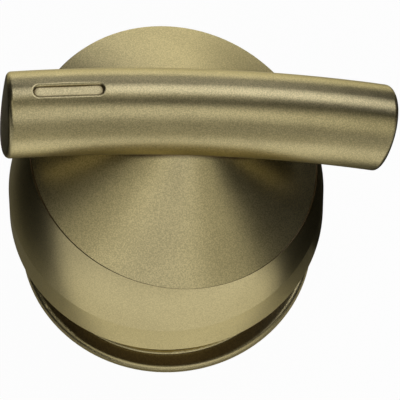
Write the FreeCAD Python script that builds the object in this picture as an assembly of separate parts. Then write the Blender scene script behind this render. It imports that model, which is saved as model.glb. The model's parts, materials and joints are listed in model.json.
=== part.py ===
import FreeCAD
import Part
import math
import os

# Replacement tap handle: a round hub on a flanged sleeve, a leaning cone on the hub and a bowed
# lever bar across the cone. The hub axis is +Z and the flange stands on z = 0.
# All sizes are in millimetres and degrees.

# Base sleeve: a flanged tube that stands on the wall plate and plugs into the skirt
flange_radius = 28.0
flange_thickness = 1.4
flange_edge_round = 1.0
neck_radius = 24.5
neck_root_round = 0.5
neck_wall = 2.5
neck_plug_depth = 6.5

# Hub skirt: a cylindrical band with a domed shoulder, cut on the slant at the top
skirt_radius = 30.0
skirt_bottom = 15.0
band_height = 9.0
band_edge_round = 0.4
shoulder_edge_round = 0.5
shoulder_lean = 6.0
dome_arc_radius = 80.0
skirt_wall = 4.0
neck_seat_thickness = 2.0
neck_seat_width = 2.5

# Slanted seam between the skirt and the lever
seam_height = 37.7
seam_tilt = 10.7
seam_gap = 0.2
seam_groove_depth = 0.8
rim_land = 3.0
spigot_length = 3.0
spigot_wall = 2.0

# Stem cone and lever bar, one casting on the leaning axis
cone_slope_angle = 35.5
cone_tip_radius = 1.0
cone_wall = 3.0
bar_rise = 19.7
bar_length = 73.3
bar_width = 15.3
bar_height = 19.8
bar_shift = 1.15
bar_bow_radius = 158.4
bar_end_lean = 5.0
bar_end_dome_radius = 60.0
bar_end_round = 1.0

# Pill-shaped index slot on the crown of the bar
slot_length = 12.8
slot_width = 1.9
slot_depth = 0.75
slot_end_margin = 5.65
slot_edge_round = 0.5

# Boss with the splined stem socket, its mouth level with the flange
boss_radius = 11.0
socket_pilot_radius = 5.2
socket_pilot_depth = 5.0
spline_count = 20
spline_root_radius = 5.0
spline_crest_radius = 4.5
spline_depth = 12.0

# Set screw, reached through a hole in the neck under the low side of the seam
screw_radius = 2.5
screw_length = 5.0
screw_point_radius = 1.4
screw_point_length = 1.0
screw_key_flats = 2.5
screw_key_depth = 2.4
screw_access_radius = 3.2

# Clearances
press_clearance = 0.05
thread_clearance = 0.05
pocket_clearance = 0.3

# Derived places
shoulder_z = skirt_bottom + band_height
neck_top = skirt_bottom + neck_plug_depth
neck_seat_top = neck_top + neck_seat_thickness
neck_bore = neck_radius - neck_wall
socket_depth = socket_pilot_depth + spline_depth
screw_height = (flange_thickness + skirt_bottom) / 2.0
tilt = math.radians(seam_tilt)
lean = math.radians(shoulder_lean)
dome_centre_r = skirt_radius - dome_arc_radius * math.cos(lean)
dome_centre_z = shoulder_z - dome_arc_radius * math.sin(lean)
beyond = 4.0 * skirt_radius
same = 1e-6


def vec(x, y, z):
    """A point or direction."""
    return FreeCAD.Vector(x, y, z)


def line(start, end):
    """A straight edge in the XZ plane between two (x, z) points."""
    return Part.LineSegment(vec(start[0], 0, start[1]), vec(end[0], 0, end[1])).toShape()


def arc(start, middle, end):
    """A circular edge in the XZ plane through three (x, z) points."""
    points = [vec(x, 0, z) for x, z in (start, middle, end)]
    return Part.Arc(*points).toShape()


def polyline(points):
    """Straight edges from each point to the next."""
    return [line(a, b) for a, b in zip(points, points[1:])]


def spun(edges):
    """A closed profile in the XZ plane turned about the hub axis."""
    return Part.Face(Part.Wire(edges)).revolve(vec(0, 0, 0), vec(0, 0, 1), 360)


def tube(outer, inner, bottom, top):
    """A round tube on the Z axis."""
    return Part.makeCylinder(outer, top - bottom, vec(0, 0, bottom)).cut(
        Part.makeCylinder(inner, top - bottom, vec(0, 0, bottom)))


def circle_edges(shape, radius, height):
    """Round edges of one radius that lie level at one height."""
    rings = [edge for edge in shape.Edges if edge.Curve.TypeId == "Part::GeomCircle"]
    level = [ring for ring in rings if abs(ring.Curve.Center.z - height) < same]
    return [ring for ring in level if abs(ring.Curve.Radius - radius) < same]


def dome_radius(height, inset):
    """Radius of the domed shoulder at a height, the surface moved inwards by inset."""
    reach = dome_arc_radius - inset
    return dome_centre_r + math.sqrt(reach ** 2 - (height - dome_centre_z) ** 2)


def seam_reach(side):
    """Distance from the hub axis to the dome along the seam plane, on its low (1) or high (-1) side."""
    rise = -side * math.sin(tilt)
    run = math.cos(tilt)
    drop = seam_height - dome_centre_z
    half_b = rise * drop - run * dome_centre_r
    constant = dome_centre_r ** 2 + drop ** 2 - dome_arc_radius ** 2
    return -half_b + math.sqrt(half_b ** 2 - constant)


seam_radius = (seam_reach(1) + seam_reach(-1)) / 2.0
seam_offset = (seam_reach(1) - seam_reach(-1)) / 2.0
spigot_radius = seam_radius - rim_land
cone_slope = math.radians(cone_slope_angle)

# The leaning frame: its origin is the middle of the seam, its Z axis leans towards +X
leaning = FreeCAD.Placement(
    vec(seam_offset * math.cos(tilt), 0, seam_height - seam_offset * math.sin(tilt)),
    FreeCAD.Rotation(vec(0, 1, 0), seam_tilt))


def leaned(shape):
    """A shape made about the seam's middle, put in its leaning place."""
    placed = shape.copy()
    placed.Placement = leaning.multiply(placed.Placement)
    return placed


def above_seam():
    """Everything above the seam plane."""
    return leaned(Part.makeBox(2 * beyond, 2 * beyond, beyond, vec(-beyond, -beyond, 0)))


def make_base_sleeve():
    """Flanged tube, with a hole in its side through which the set screw is reached."""
    flange = Part.makeCylinder(flange_radius, flange_thickness)
    rims = circle_edges(flange, flange_radius, flange_thickness)
    flange = flange.makeFillet(flange_edge_round, rims)
    sleeve = flange.fuse(Part.makeCylinder(neck_radius, neck_top))
    sleeve = sleeve.makeFillet(neck_root_round, circle_edges(sleeve, neck_radius, flange_thickness))
    bore = Part.makeCylinder(neck_bore, neck_top)
    access = Part.makeCylinder(screw_access_radius, neck_radius, vec(0, 0, screw_height), vec(1, 0, 0))
    return sleeve.cut(bore).cut(access).removeSplitter()


def make_hub_skirt():
    """Band and domed shoulder, bored below for the neck and on the slant above for the spigot."""
    top = seam_height + skirt_radius * math.tan(tilt) + spigot_length
    middle = (shoulder_z + top) / 2.0
    shoulder = (skirt_radius, shoulder_z)
    outer = polyline([(0, top), (0, skirt_bottom), (skirt_radius, skirt_bottom), shoulder])
    outer.append(arc(shoulder, (dome_radius(middle, 0), middle), (dome_radius(top, 0), top)))
    outer.append(line((dome_radius(top, 0), top), (0, top)))
    solid = spun(outer)
    solid = solid.makeFillet(band_edge_round, circle_edges(solid, skirt_radius, skirt_bottom))
    solid = solid.makeFillet(shoulder_edge_round, circle_edges(solid, skirt_radius, shoulder_z))

    cavity_start = (dome_radius(neck_seat_top, skirt_wall), neck_seat_top)
    cavity_middle = (neck_seat_top + top) / 2.0
    cavity_end = (dome_radius(top, skirt_wall), top)
    inner = polyline([(0, top), (0, neck_seat_top), cavity_start])
    inner.append(arc(cavity_start, (dome_radius(cavity_middle, skirt_wall), cavity_middle), cavity_end))
    inner.append(line(cavity_end, (0, top)))
    neck_pocket = Part.makeCylinder(neck_radius + press_clearance, neck_plug_depth, vec(0, 0, skirt_bottom))
    seat_bore = Part.makeCylinder(neck_radius - neck_seat_width, neck_seat_top)
    spigot_pocket = leaned(Part.makeCylinder(
        spigot_radius + press_clearance, spigot_length + pocket_clearance,
        vec(0, 0, -spigot_length - pocket_clearance)))
    solid = solid.cut(above_seam()).cut(spun(inner)).cut(neck_pocket).cut(seat_bore)
    return solid.cut(spigot_pocket)


def bar_section():
    """Oval section of the bar across its length, with its seam on the underside."""
    tips = [vec(0, 0, -bar_height / 2.0), vec(0, bar_width / 2.0, 0)]
    minor, major = sorted(tips, key=lambda tip: tip.Length)
    return Part.Face(Part.Wire(Part.Ellipse(major, minor, vec(0, 0, 0)).toShape()))


def bar_ends():
    """Block between the two bar ends, which are a little domed in plan and lean outwards at the top."""
    tall = 2.0 * bar_height
    axis_reach = bar_length / 2.0 - bar_end_dome_radius
    ends = []
    for side in (-1, 1):
        end = Part.makeCylinder(bar_end_dome_radius, 2 * tall, vec(side * axis_reach, 0, -tall))
        end.rotate(vec(side * bar_length / 2.0, 0, 0), vec(0, 1, 0), side * bar_end_lean)
        ends.append(end)
    return ends[0].common(ends[1])


def make_bar():
    """The bowed bar about its own middle, with rounded ends and the index slot in its crown."""
    bow_axis = vec(0, 0, -bar_bow_radius)
    sweep = math.degrees((bar_length + 2 * bar_height) / bar_bow_radius)
    section = bar_section()
    section.rotate(bow_axis, vec(0, 1, 0), -sweep / 2.0)
    bar = section.revolve(bow_axis, vec(0, 1, 0), sweep).common(bar_ends())
    end_faces = [face for face in bar.Faces if face.Surface.TypeId == "Part::GeomCylinder"
                 and abs(face.Surface.Radius - bar_end_dome_radius) < same]
    rims = [edge for face in end_faces for edge in face.Edges]
    bar = bar.makeFillet(bar_end_round, rims)
    slot_middle = slot_end_margin + slot_length / 2.0 - bar_length / 2.0
    pill = make_slot()
    pill.rotate(bow_axis, vec(0, 1, 0), math.degrees(slot_middle / bar_bow_radius))
    bar = bar.cut(pill)
    lip_level = bar_bow_radius + bar_height / 2.0 - slot_depth / 2.0
    lips = []
    for edge in bar.Edges:
        middle = edge.valueAt((edge.FirstParameter + edge.LastParameter) / 2.0)
        beside_slot = abs(middle.x - slot_middle) < slot_length and abs(middle.y) < slot_width
        level = (middle - vec(0, middle.y, -bar_bow_radius)).Length
        if beside_slot and level > lip_level:
            lips.append(edge)
    return bar.makeFillet(slot_edge_round, lips)


def make_slot():
    """Cutter for the index slot, upright at the middle of the bar."""
    bend = slot_width / 2.0
    run = slot_length / 2.0 - bend
    floor = bar_height / 2.0 - slot_depth
    block = Part.makeBox(2 * run, slot_width, bar_height, vec(-run, -bend, floor))
    ends = [Part.makeCylinder(bend, bar_height, vec(x, 0, floor)) for x in (-run, run)]
    return block.multiFuse(ends).removeSplitter()


def spline_cutter():
    """Toothed socket: crests and roots in turn round the hub axis."""
    corners = []
    for i in range(2 * spline_count):
        angle = math.pi * i / spline_count
        radius = spline_root_radius if i % 2 else spline_crest_radius
        corners.append(vec(radius * math.cos(angle), radius * math.sin(angle), 0))
    return Part.Face(Part.makePolygon(corners + corners[:1])).extrude(vec(0, 0, socket_depth))


def make_lever():
    """Cone, bar, spigot and boss in one casting, hollow under the cone."""
    cone_height = (seam_radius - cone_tip_radius) * math.tan(cone_slope)
    cone = Part.makeCone(seam_radius, cone_tip_radius, cone_height)
    groove = tube(seam_radius, seam_radius - seam_groove_depth, 0, seam_gap)
    spigot = Part.makeCylinder(spigot_radius, spigot_length, vec(0, 0, -spigot_length))
    hollow_radius = spigot_radius - spigot_wall
    wall_run = cone_wall / math.sin(cone_slope)
    hollow_height = (seam_radius - wall_run - hollow_radius) * math.tan(cone_slope)
    ceiling = (seam_radius - wall_run - boss_radius) * math.tan(cone_slope)
    hollow = Part.makeCylinder(hollow_radius, spigot_length + hollow_height, vec(0, 0, -spigot_length))
    dished = Part.makeCone(hollow_radius, boss_radius, ceiling - hollow_height, vec(0, 0, hollow_height))
    shell = leaned(cone.fuse(spigot).cut(hollow).cut(dished).cut(groove))

    under_cone = leaned(cone.fuse(Part.makeCylinder(seam_radius, beyond, vec(0, 0, -beyond))))
    boss = Part.makeCylinder(boss_radius, beyond).common(under_cone)
    bar = leaned(make_bar().translated(vec(bar_shift, 0, bar_rise)))
    lever = shell.fuse(boss).fuse(bar).removeSplitter()

    pilot = Part.makeCylinder(socket_pilot_radius, socket_pilot_depth)
    screw_hole = Part.makeCylinder(
        screw_radius + thread_clearance, boss_radius, vec(0, 0, screw_height), vec(1, 0, 0))
    return lever.cut(pilot).cut(spline_cutter()).cut(screw_hole)


def make_set_screw():
    """Grub screw with a cone point and a hex socket, its outer end flush with the boss."""
    body_length = screw_length - screw_point_length
    body = Part.makeCylinder(screw_radius, body_length, vec(0, 0, screw_point_length))
    point = Part.makeCone(screw_point_radius, screw_radius, screw_point_length)
    corner = screw_key_flats / math.sqrt(3.0)
    turns = [math.radians(degrees) for degrees in range(0, 361, 60)]
    hexagon = [vec(corner * math.cos(turn), corner * math.sin(turn), screw_length) for turn in turns]
    key = Part.Face(Part.makePolygon(hexagon)).extrude(vec(0, 0, -screw_key_depth))
    screw = body.fuse(point).cut(key).removeSplitter()
    screw.Placement = FreeCAD.Placement(
        vec(boss_radius - screw_length, 0, screw_height), FreeCAD.Rotation(vec(0, 1, 0), 90))
    return screw


pieces = {
    "base_sleeve": make_base_sleeve(),
    "hub_skirt": make_hub_skirt(),
    "lever": make_lever(),
    "set_screw": make_set_screw(),
}
os.makedirs("parts", exist_ok=True)
for name, shape in pieces.items():
    shape.exportStep(f"parts/{name}.step")
    print(name, "solids", len(shape.Solids), "valid", shape.isValid(), "volume", round(shape.Volume, 1))
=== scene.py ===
import json
import math

import bpy
from mathutils import Matrix, Quaternion, Vector

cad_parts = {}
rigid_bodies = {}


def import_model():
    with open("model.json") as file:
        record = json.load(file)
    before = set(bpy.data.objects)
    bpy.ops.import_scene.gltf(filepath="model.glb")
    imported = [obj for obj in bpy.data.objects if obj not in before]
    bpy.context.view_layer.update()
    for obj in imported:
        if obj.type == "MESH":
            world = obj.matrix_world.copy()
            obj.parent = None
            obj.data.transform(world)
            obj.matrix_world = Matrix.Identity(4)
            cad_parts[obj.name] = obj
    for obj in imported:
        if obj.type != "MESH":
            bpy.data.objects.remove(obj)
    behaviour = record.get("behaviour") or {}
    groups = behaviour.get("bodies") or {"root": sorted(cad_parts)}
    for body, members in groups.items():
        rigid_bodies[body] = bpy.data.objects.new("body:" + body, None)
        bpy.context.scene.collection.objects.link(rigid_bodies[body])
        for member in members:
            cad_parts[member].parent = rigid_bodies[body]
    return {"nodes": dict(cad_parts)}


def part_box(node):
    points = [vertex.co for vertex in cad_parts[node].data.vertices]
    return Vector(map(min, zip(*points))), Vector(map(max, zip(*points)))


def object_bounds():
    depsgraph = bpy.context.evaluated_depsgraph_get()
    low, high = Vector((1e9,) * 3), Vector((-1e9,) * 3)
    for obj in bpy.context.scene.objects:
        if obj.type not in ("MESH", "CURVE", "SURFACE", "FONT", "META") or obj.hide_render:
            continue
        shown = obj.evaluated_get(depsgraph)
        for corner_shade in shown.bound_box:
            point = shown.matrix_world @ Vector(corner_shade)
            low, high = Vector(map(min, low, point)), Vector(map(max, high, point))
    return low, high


# Replacement tap handle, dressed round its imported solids
# Lengths are in metres; the hub axis is +Z and the bar runs along X
for leftover in list(bpy.data.objects):
    bpy.data.objects.remove(leftover)
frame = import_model()
cad_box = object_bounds()

# Base sleeve: the flanged tube that stands round the valve, turned in brass, with its flange bead-blasted
# and plated a satin champagne bronze. Its bore is left as turned, and its neck, which goes up into the skirt,
# is dark brown brass as painted shade under the skirt. A hole in the neck lets a key through to the set
# screw.
class Shade:
    """A shader socket. Sums, products and comparisons with numbers or other sockets add Math nodes."""

    def __init__(self, tree, socket=None):
        self.tree = tree
        self.socket = socket

    def feed(self, made, sockets):
        """Sets or links the named sockets of a node."""
        for name, value in sockets.items():
            if isinstance(value, Shade):
                self.tree.links.new(value.socket, made.inputs[name])
            else:
                made.inputs[name].default_value = value

    def node(self, kind, settings, sockets, output=0):
        """Adds a node: its settings first, then a value or a link for each socket; gives one output."""
        made = self.tree.nodes.new(kind)
        for name, value in settings.items():
            setattr(made, name, value)
        self.feed(made, sockets)
        return Shade(self.tree, made.outputs[output])

    def math(self, operation, *values):
        """A Math node on values or sockets."""
        return self.node("ShaderNodeMath", {"operation": operation}, dict(enumerate(values)))

    def __add__(self, other):
        return self.math("ADD", self, other)

    def __sub__(self, other):
        return self.math("SUBTRACT", self, other)

    def __rsub__(self, other):
        return self.math("SUBTRACT", other, self)

    def __mul__(self, other):
        return self.math("MULTIPLY", self, other)

    def __lt__(self, other):
        return self.math("LESS_THAN", self, other)

    def __gt__(self, other):
        return self.math("GREATER_THAN", self, other)

    __radd__ = __add__
    __rmul__ = __mul__

    def tint(self, dark, light):
        """A colour between two colours or sockets, by this value."""
        low, high = [end if isinstance(end, Shade) else (*end, 1.0) for end in (dark, light)]
        return self.node("ShaderNodeMix", {"data_type": "RGBA"},
                         {"Factor": self, "A": low, "B": high}, "Result")


def new_surface(name):
    """A new material, its start for expressions and its metal shader."""
    material = bpy.data.materials.new(name)
    material.use_nodes = True
    return material, Shade(material.node_tree), material.node_tree.nodes["Principled BSDF"]


def noise(start, place, pitch, detail, roughness):
    """Noise with blotches about one pitch apart."""
    return start.node("ShaderNodeTexNoise", {}, {
        "Vector": place, "Scale": 1.0 / pitch, "Detail": detail, "Roughness": roughness})


def satin_bronze(name, raw_and_shade_mask, grain_spread):
    """Blasted metal with a fine grain under thin bronze plating; rough brown brass where raw, and as painted
    shade.
    """
    bronze = (0.550, 0.471, 0.255)
    raw_and_shade_brass = (0.145, 0.104, 0.056)
    glancing_tint = (0.83, 0.76, 0.51, 1.0)
    grain_pitch = 0.00025
    speck_pitch = 0.00014
    cloud_pitch = 0.012
    cloud_share = 0.2
    speck_share = 0.3
    noise_middle = 0.5
    grain_contrast = 6.0
    grain_depth = 0.000030
    satin = 0.32
    satin_spread = 0.02
    raw_and_shade_rise = 0.16
    material, start, shader = new_surface(name)
    place = start.node("ShaderNodeTexCoord", {}, {}, "Object")
    grain = noise(start, place, grain_pitch, detail=2.0, roughness=0.6)
    speck = noise(start, place, speck_pitch, detail=1.0, roughness=0.5)
    cloud = noise(start, place, cloud_pitch, detail=2.0, roughness=0.5)
    swing = (grain * (1.0 - cloud_share) + cloud * cloud_share - noise_middle) * grain_contrast
    mottle = noise_middle + swing
    # 1 where the metal is raw, and where shade is painted as dark brown brass
    raw_and_shade = raw_and_shade_mask(start, place)

    def grained(colour):
        """A colour that the grain darkens and lightens."""
        return mottle.tint([part * (1.0 - grain_spread) for part in colour],
                           [part * (1.0 + grain_spread) for part in colour])

    blasted = start.node("ShaderNodeBump", {}, {
        "Strength": 1.0, "Distance": grain_depth,
        "Height": grain * (1.0 - speck_share) + speck * speck_share})
    start.feed(shader, {
        "Metallic": 1.0,
        "Specular Tint": glancing_tint,
        "Base Color": raw_and_shade.tint(grained(bronze), grained(raw_and_shade_brass)),
        "Roughness": satin + swing * satin_spread + raw_and_shade * raw_and_shade_rise,
        "Normal": blasted})
    return material


def dress(node, material):
    """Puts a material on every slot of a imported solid."""
    for slot in frame["nodes"][node].material_slots:
        slot.material = material


def reach(start, place):
    """Distance of a place from the hub axis, and its height."""
    flat = start.node("ShaderNodeVectorMath", {"operation": "MULTIPLY"}, {0: place, 1: (1.0, 1.0, 0.0)})
    distance = start.node("ShaderNodeVectorMath", {"operation": "LENGTH"}, {0: flat}, "Value")
    return distance, start.node("ShaderNodeSeparateXYZ", {}, {"Vector": place}, "Z")


def inside_sleeve(start, place):
    """1 in the sleeve's raw bore, and as painted shade on its neck above the round at the neck's root."""
    bore_edge = 0.0232
    neck_edge = 0.0247
    root_top = 0.0024
    radius, height = reach(start, place)
    return start.math("MAXIMUM", radius < bore_edge, (radius < neck_edge) * (root_top < height))


dress("base_sleeve", satin_bronze("sleeve_bronze", inside_sleeve, grain_spread=0.13))

# Hub skirt: the band and domed shoulder that hide the valve, cast, turned, bead-blasted and plated like
# the sleeve's flange. It presses onto the sleeve's neck, and its slanted top edge takes the lever's spigot.
# Its inside and its top edge stay raw, and its underside is dark brown brass as painted shade.
def lean(start, place):
    """A place in axes that lean with the slanted seam, from the seam's middle."""
    seam_middle = (0.00146, 0.0, 0.03742)
    seam_tilt = math.radians(10.7)
    return start.node("ShaderNodeMapping", {"vector_type": "TEXTURE"},
                      {"Vector": place, "Location": seam_middle, "Rotation": (0.0, seam_tilt, 0.0)})


def inside_skirt(start, place):
    """1 on the skirt's flat underside as painted shade, on its slanted top and on its hollow's walls, which
    close in upwards.
    """
    hollow_edge = 0.0275
    closing_start = 0.0285
    closing = 0.22
    shoulder = 0.024
    underside_skin = 0.00002
    seam_land = -0.00003
    radius, height = reach(start, place)
    wall = start.math("MINIMUM", hollow_edge, closing_start - closing * (height - shoulder))
    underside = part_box("hub_skirt")[0].z + underside_skin
    hidden = start.math("MAXIMUM", radius < wall, height < underside)
    above_seam = reach(start, lean(start, place))[1]
    return start.math("MAXIMUM", hidden, above_seam > seam_land)


dress("hub_skirt", satin_bronze("skirt_bronze", inside_skirt, grain_spread=0.13))

# Lever: the leaning cone and the bowed bar across it, one casting with the stem boss inside, bead-blasted
# and plated, with painted shade, a darkening towards brown brass, in its corners and in the crease under
# the bar. Its spigot presses into the skirt, which leaves a fine dark line all round.
def inside_lever(start, place):
    """1 under the cone's skin, in axes that lean with it; painted shade in corners and low on the bar's
    sides.
    """
    seam_radius = 0.0277
    cone_slope = math.radians(35.5)
    skin = 0.0012
    belly_shade_start = 0.00006
    belly_shade_end = 0.0045
    belly_shade_depth = 0.55
    corner_shade_reach = 0.0012
    corner_shade_open = 0.92
    corner_shade_contrast = 2.6
    radius, height = reach(start, lean(start, place))
    above = height - (seam_radius - radius) * math.tan(cone_slope)
    # Painted shade low on the bar's sides, darkest where they meet the cone
    belly_shade = start.node("ShaderNodeMapRange", {}, {
        "Value": above, "From Min": belly_shade_start, "From Max": belly_shade_end, "To Min": belly_shade_depth, "To Max": 0.0})
    # Painted shade in corners, from how much of the lever lies close by
    openness = start.node("ShaderNodeAmbientOcclusion", {"only_local": True},
                          {"Distance": corner_shade_reach}, "AO")
    corner_shade = start.node("ShaderNodeMath", {"operation": "MULTIPLY", "use_clamp": True},
                        {0: corner_shade_open - openness, 1: corner_shade_contrast})
    crease_shade = start.math("MAXIMUM", belly_shade * (above > belly_shade_start), corner_shade)
    return start.math("MAXIMUM", crease_shade, above < -skin / math.cos(cone_slope))


dress("lever", satin_bronze("lever_bronze", inside_lever, grain_spread=0.19))

# Set screw: a small hex-socket grub screw of plain turned steel, which grips the valve stem through the boss.
# The lathe leaves fine rings on its ends.
def turned_steel(name):
    """Plain turned steel: faint rings about the screw's own axis, which runs along X."""
    dark_steel = (0.40, 0.40, 0.41)
    bright_steel = (0.50, 0.50, 0.51)
    turned = 0.32
    turned_spread = 0.12
    ring_pitch = 0.0002
    ring_waver = 0.4
    wave_turn = 20.0
    low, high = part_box("set_screw")
    axis_height = (low.z + high.z) / 2.0
    material, start, shader = new_surface(name)
    place = start.node("ShaderNodeTexCoord", {}, {}, "Object")
    centred = start.node("ShaderNodeMapping", {}, {"Vector": place, "Location": (0.0, 0.0, -axis_height)})
    # The wave turns by wave_turn radians in each unit, at a scale of 1
    rings = start.node("ShaderNodeTexWave", {"wave_type": "RINGS", "rings_direction": "X"}, {
        "Vector": centred, "Scale": math.tau / (wave_turn * ring_pitch), "Distortion": ring_waver})
    start.feed(shader, {
        "Metallic": 1.0,
        "Base Color": rings.tint(dark_steel, bright_steel),
        "Roughness": turned + rings * turned_spread})
    return material


dress("set_screw", turned_steel("screw_steel"))

# Floor: a wide sheet of plain white paper under the handle. The camera sees it as white and the metal sees
# a little of that, and some of the lamps' own light is left in it, so that the handle's shadow stays.
floor_reach = 3.0
floor_drop = 0.0001
floor_seen = 0.97
floor_mirrored = 0.05
paper_white = (0.9, 0.9, 0.9, 1.0)
paper_roughness = 0.9
white = (1.0, 1.0, 1.0)


def sheet_mesh(name, corners):
    """A flat four-cornered sheet that belongs to the studio and not to the handle."""
    mesh = bpy.data.meshes.new(name)
    mesh.from_pydata(corners, [], [(0, 1, 2, 3)])
    sheet = bpy.data.objects.new(name, mesh)
    bpy.context.scene.collection.objects.link(sheet)
    return sheet


def level(left, right, front, back, height):
    """Corners of a level rectangle, facing up."""
    return [(left, front, height), (right, front, height), (right, back, height), (left, back, height)]


def glow(start, colour, brightness):
    """A face that shines with one colour and brightness all over."""
    return start.node("ShaderNodeEmission", {}, {"Color": (*colour, 1.0), "Strength": brightness})


def cover(sheet, material, face):
    """Gives a sheet a material that shows one face."""
    tree = material.node_tree
    tree.links.new(face.socket, tree.nodes["Material Output"].inputs["Surface"])
    sheet.data.materials.append(material)


floor = sheet_mesh("floor", level(-floor_reach, floor_reach, -floor_reach, floor_reach, -floor_drop))
paper, start, lit_paper = new_surface("white_paper")
start.feed(lit_paper, {"Base Color": paper_white, "Roughness": paper_roughness, "Specular IOR Level": 0.0})
seen = start.node("ShaderNodeLightPath", {}, {}, "Is Camera Ray")
mirrored = start.node("ShaderNodeLightPath", {}, {}, "Is Glossy Ray")
cover(floor, paper, start.node("ShaderNodeMixShader", {}, {
    0: seen * floor_seen + mirrored * floor_mirrored,
    1: Shade(start.tree, lit_paper.outputs["BSDF"]),
    2: glow(start, white, 1.0)}))

# Bounce cards and flags: sheets on the floor round the handle that only the metal sees. White ones lie
# before and behind it and one stands upright at the back. Grey and black ones at its sides draw the round
# of the hub.
card_lift = 0.0003
upright_reach = 0.20
upright_back = 0.50
upright_top = 0.08
lamplight = (1.02, 1.0, 0.87)


def card(name, corners, brightness, colour=white):
    """A sheet that only the metal sees, with one brightness all over; black where that is 0."""
    sheet = sheet_mesh(name, corners)
    surface, start, spare = new_surface(name)
    surface.node_tree.nodes.remove(spare)
    cover(sheet, surface, glow(start, colour, brightness))
    sheet.visible_camera = False
    sheet.visible_diffuse = False
    sheet.visible_shadow = False


def floor_card(name, left, right, front, back, brightness, colour=white):
    """A card that lies on the floor between four edges."""
    card(name, level(left, right, front, back, card_lift), brightness, colour)


floor_card("front_card", -0.06, 0.020, -0.05, -0.030, 0.8)
floor_card("front_right_card", 0.020, 0.050, -0.05, -0.030, 0.8)
floor_card("mid_front_card", -0.06, 0.08, -0.10, -0.05, 0.95)
floor_card("far_front_card", -0.10, 0.10, -0.40, -0.10, 0.35, lamplight)
floor_card("front_left_card", -0.16, -0.06, -0.10, -0.03, 0.6)
floor_card("back_card", -0.08, 0.08, 0.06, 0.12, 0.7)
floor_card("far_back_card", -0.12, 0.12, 0.12, 0.50, 1.05)
card("upright_card",
     [(-upright_reach, upright_back, 0.0), (upright_reach, upright_back, 0.0),
      (upright_reach, upright_back, upright_top), (-upright_reach, upright_back, upright_top)], 1.5)
floor_card("left_near_card", -0.046, -0.031, -0.03, 0.06, 0.16)
floor_card("left_card", -0.07, -0.046, -0.03, 0.06, 0.012)
floor_card("left_flag", -0.60, -0.07, -0.03, 0.06, 0.0)
floor_card("back_left_flag", -0.60, -0.12, 0.06, 0.40, 0.0)
floor_card("right_near_card", 0.030, 0.037, -0.03, -0.006, 0.1)
floor_card("right_near_flag", 0.030, 0.037, -0.006, 0.06, 0.0)
floor_card("right_flag", 0.037, 0.60, -0.03, 0.06, 0.0)
floor_card("back_right_flag", 0.12, 0.60, 0.06, 0.40, 0.0)
floor_card("front_right_flag", 0.050, 0.16, -0.05, -0.03, 0.0)

# Lamps: soft boxes round the handle at arm's length. Each is given by its direction and its spread as the
# handle sees it, in degrees, and by the brightness of its face. Most are slightly warm, and those behind
# slightly cool.
lamp_distance = 1.0
daylight = (0.985, 1.0, 1.10)
lamp_aim = (cad_box[0] + cad_box[1]) / 2.0


def soft_box(name, azimuth, elevation, wide, tall, brightness, roll=0.0, colour=white):
    """An area lamp that faces the handle; azimuth 0 is +X, 90 is the back, and roll turns its face."""
    lamp = bpy.data.lights.new(name, "AREA")
    lamp.shape = "RECTANGLE"
    lamp.color = colour
    lamp.size = 2.0 * lamp_distance * math.tan(math.radians(wide / 2.0))
    lamp.size_y = 2.0 * lamp_distance * math.tan(math.radians(tall / 2.0))
    lamp.energy = brightness * math.pi * lamp.size * lamp.size_y
    box = bpy.data.objects.new(name, lamp)
    bpy.context.scene.collection.objects.link(box)
    turn, rise = math.radians(azimuth), math.radians(elevation)
    away = Vector((math.cos(rise) * math.cos(turn), math.cos(rise) * math.sin(turn), math.sin(rise)))
    box.location = lamp_aim + away * lamp_distance
    rolled = Quaternion((0.0, 0.0, 1.0), math.radians(roll))
    box.rotation_euler = (away.to_track_quat("Z", "Y") @ rolled).to_euler()
    box.visible_camera = False


soft_box("front_box", -92.0, 38.0, 54.0, 38.0, 0.80)
soft_box("front_low_box", -90.0, 8.0, 40.0, 16.0, 0.32, colour=lamplight)
soft_box("front_right_box", -47.0, 22.0, 36.0, 40.0, 0.56, colour=lamplight)
soft_box("front_left_box", -135.0, 58.0, 36.0, 26.0, 0.60, colour=lamplight)
soft_box("overhead_box", 48.0, 58.0, 60.0, 32.0, 1.36, roll=46.0, colour=daylight)
soft_box("back_box", 86.0, 24.0, 46.0, 26.0, 0.48, colour=daylight)
soft_box("top_box", 0.0, 84.0, 18.0, 44.0, 0.38, colour=lamplight)

# Room: a dark studio round the handle. The camera sees it as white, and everything else sees only
# a trace of light in it.
room_level = 0.006
world = bpy.data.worlds.new("studio")
bpy.context.scene.world = world
world.use_nodes = True
start = Shade(world.node_tree)
seen = start.node("ShaderNodeLightPath", {}, {}, "Is Camera Ray")
start.feed(world.node_tree.nodes["Background"], {
    "Color": seen.tint((room_level,) * 3, white), "Strength": 1.0})

# Camera: a long lens that looks down on the handle from the front, turned a little to one side. view_width
# is what the frame spans at the hub, and the two aims move its middle right and up from the origin.
camera_rise = math.radians(65.2)
camera_turn = math.radians(3.0)
view_width = 0.07728
aim_right = 0.006453
aim_up = 0.007631
lens = 720.0
sensor = 36.0
towards = Vector((-math.cos(camera_rise) * math.sin(camera_turn),
                  -math.cos(camera_rise) * math.cos(camera_turn), math.sin(camera_rise)))
right = Vector((math.cos(camera_turn), -math.sin(camera_turn), 0.0))
up = towards.cross(right)
camera_data = bpy.data.cameras.new("camera")
camera_data.lens = lens
camera_data.sensor_width = sensor
camera = bpy.data.objects.new("camera", camera_data)
bpy.context.scene.collection.objects.link(camera)
camera.matrix_world = Matrix((right, up, towards)).transposed().to_4x4()
camera.location = aim_right * right + aim_up * up + view_width * lens / sensor * towards
bpy.context.scene.camera = camera
bpy.context.scene.view_settings.view_transform = "Standard"
